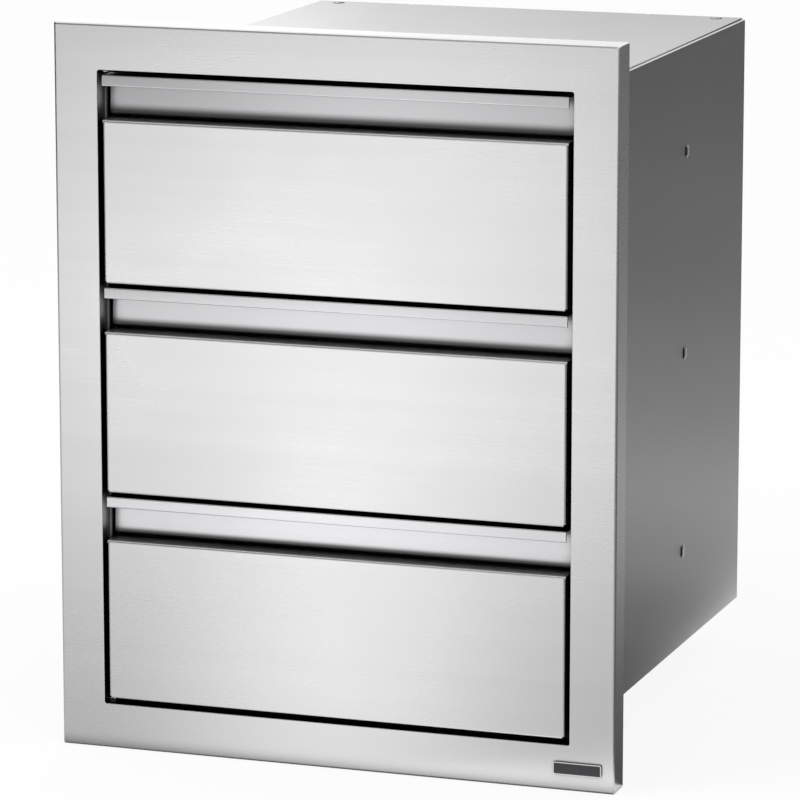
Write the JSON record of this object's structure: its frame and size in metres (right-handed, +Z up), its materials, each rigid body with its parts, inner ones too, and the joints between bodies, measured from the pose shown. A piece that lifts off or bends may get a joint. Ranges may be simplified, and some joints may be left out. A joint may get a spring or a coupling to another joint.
{
  "type": "outdoor kitchen drawer unit",
  "caption": "Built-in stainless drawer unit: face frame, sheet casing and a stack of finger-pull drawers on telescopic ball slides.",
  "frame": {"origin": "middle of the front lower edge of the cut-out: on the casing's underside, in the plane of the wall's face", "axes": "+X to the right seen from the front, +Y into the wall, +Z up; the drawers open along -Y"},
  "size_m": [0.4826, 0.5249, 0.6096],
  "materials": {
    "front_stainless": "fine brushed grain, along the width on the drawer fronts",
    "casing_stainless": "mill finish sheet, slightly cloudy",
    "slide_zinc": "bright zinc plate",
    "cage_steel": "pressed steel",
    "stop_rubber": "matte black",
    "badge_plate": "dark enamel in a bright rim"
  },
  "bodies": {
    "casing": {"face_frame": "front_stainless", "blank_badge": "badge_plate", "casing_left_side": "casing_stainless", "casing_right_side": "casing_stainless", "casing_top": "casing_stainless", "casing_bottom": "casing_stainless", "casing_back": "casing_stainless", "bottom_left_fixed_rail": "slide_zinc", "bottom_right_fixed_rail": "slide_zinc", "bottom_left_rail_stop": "stop_rubber", "bottom_right_rail_stop": "stop_rubber", "centre_left_fixed_rail": "slide_zinc", "centre_right_fixed_rail": "slide_zinc", "centre_left_rail_stop": "stop_rubber", "centre_right_rail_stop": "stop_rubber", "top_left_fixed_rail": "slide_zinc", "top_right_fixed_rail": "slide_zinc", "top_left_rail_stop": "stop_rubber", "top_right_rail_stop": "stop_rubber"},
    "bottom_drawer": {"bottom_front_panel": "front_stainless", "bottom_finger_channel": "front_stainless", "bottom_front_liner": "casing_stainless", "bottom_box_tray": "casing_stainless", "bottom_box_back": "casing_stainless", "bottom_left_drawer_rail": "slide_zinc", "bottom_right_drawer_rail": "slide_zinc"},
    "bottom_carriers": {"bottom_left_carrier_rail": "slide_zinc", "bottom_right_carrier_rail": "slide_zinc"},
    "bottom_outer_cages": {"bottom_left_outer_cage": "cage_steel", "bottom_right_outer_cage": "cage_steel"},
    "bottom_inner_cages": {"bottom_left_inner_cage": "cage_steel", "bottom_right_inner_cage": "cage_steel"},
    "centre_drawer": {"centre_front_panel": "front_stainless", "centre_finger_channel": "front_stainless", "centre_front_liner": "casing_stainless", "centre_box_tray": "casing_stainless", "centre_box_back": "casing_stainless", "centre_left_drawer_rail": "slide_zinc", "centre_right_drawer_rail": "slide_zinc"},
    "centre_carriers": {"centre_left_carrier_rail": "slide_zinc", "centre_right_carrier_rail": "slide_zinc"},
    "centre_outer_cages": {"centre_left_outer_cage": "cage_steel", "centre_right_outer_cage": "cage_steel"},
    "centre_inner_cages": {"centre_left_inner_cage": "cage_steel", "centre_right_inner_cage": "cage_steel"},
    "top_drawer": {"top_front_panel": "front_stainless", "top_finger_channel": "front_stainless", "top_front_liner": "casing_stainless", "top_box_tray": "casing_stainless", "top_box_back": "casing_stainless", "top_left_drawer_rail": "slide_zinc", "top_right_drawer_rail": "slide_zinc"},
    "top_carriers": {"top_left_carrier_rail": "slide_zinc", "top_right_carrier_rail": "slide_zinc"},
    "top_outer_cages": {"top_left_outer_cage": "cage_steel", "top_right_outer_cage": "cage_steel"},
    "top_inner_cages": {"top_left_inner_cage": "cage_steel", "top_right_inner_cage": "cage_steel"}
  },
  "joints": [
    {"name": "bottom_drawer_slide", "type": "slide", "parent": "casing", "child": "bottom_drawer", "axis": [0, -1, 0], "range_m": [0, 0.45]},
    {"name": "bottom_carriers_slide", "type": "slide", "parent": "casing", "child": "bottom_carriers", "axis": [0, -1, 0], "range_m": [0, 0.225]},
    {"name": "bottom_outer_cages_slide", "type": "slide", "parent": "casing", "child": "bottom_outer_cages", "axis": [0, -1, 0], "range_m": [0, 0.1125]},
    {"name": "bottom_inner_cages_slide", "type": "slide", "parent": "casing", "child": "bottom_inner_cages", "axis": [0, -1, 0], "range_m": [0, 0.3375]},
    {"name": "centre_drawer_slide", "type": "slide", "parent": "casing", "child": "centre_drawer", "axis": [0, -1, 0], "range_m": [0, 0.45]},
    {"name": "centre_carriers_slide", "type": "slide", "parent": "casing", "child": "centre_carriers", "axis": [0, -1, 0], "range_m": [0, 0.225]},
    {"name": "centre_outer_cages_slide", "type": "slide", "parent": "casing", "child": "centre_outer_cages", "axis": [0, -1, 0], "range_m": [0, 0.1125]},
    {"name": "centre_inner_cages_slide", "type": "slide", "parent": "casing", "child": "centre_inner_cages", "axis": [0, -1, 0], "range_m": [0, 0.3375]},
    {"name": "top_drawer_slide", "type": "slide", "parent": "casing", "child": "top_drawer", "axis": [0, -1, 0], "range_m": [0, 0.45]},
    {"name": "top_carriers_slide", "type": "slide", "parent": "casing", "child": "top_carriers", "axis": [0, -1, 0], "range_m": [0, 0.225]},
    {"name": "top_outer_cages_slide", "type": "slide", "parent": "casing", "child": "top_outer_cages", "axis": [0, -1, 0], "range_m": [0, 0.1125]},
    {"name": "top_inner_cages_slide", "type": "slide", "parent": "casing", "child": "top_inner_cages", "axis": [0, -1, 0], "range_m": [0, 0.3375]}
  ],
  "couplings": [
    {"joint": "bottom_carriers_slide", "follows": "bottom_drawer_slide", "ratio": 0.5},
    {"joint": "bottom_outer_cages_slide", "follows": "bottom_drawer_slide", "ratio": 0.25},
    {"joint": "bottom_inner_cages_slide", "follows": "bottom_drawer_slide", "ratio": 0.75},
    {"joint": "centre_carriers_slide", "follows": "centre_drawer_slide", "ratio": 0.5},
    {"joint": "centre_outer_cages_slide", "follows": "centre_drawer_slide", "ratio": 0.25},
    {"joint": "centre_inner_cages_slide", "follows": "centre_drawer_slide", "ratio": 0.75},
    {"joint": "top_carriers_slide", "follows": "top_drawer_slide", "ratio": 0.5},
    {"joint": "top_outer_cages_slide", "follows": "top_drawer_slide", "ratio": 0.25},
    {"joint": "top_inner_cages_slide", "follows": "top_drawer_slide", "ratio": 0.75}
  ]
}
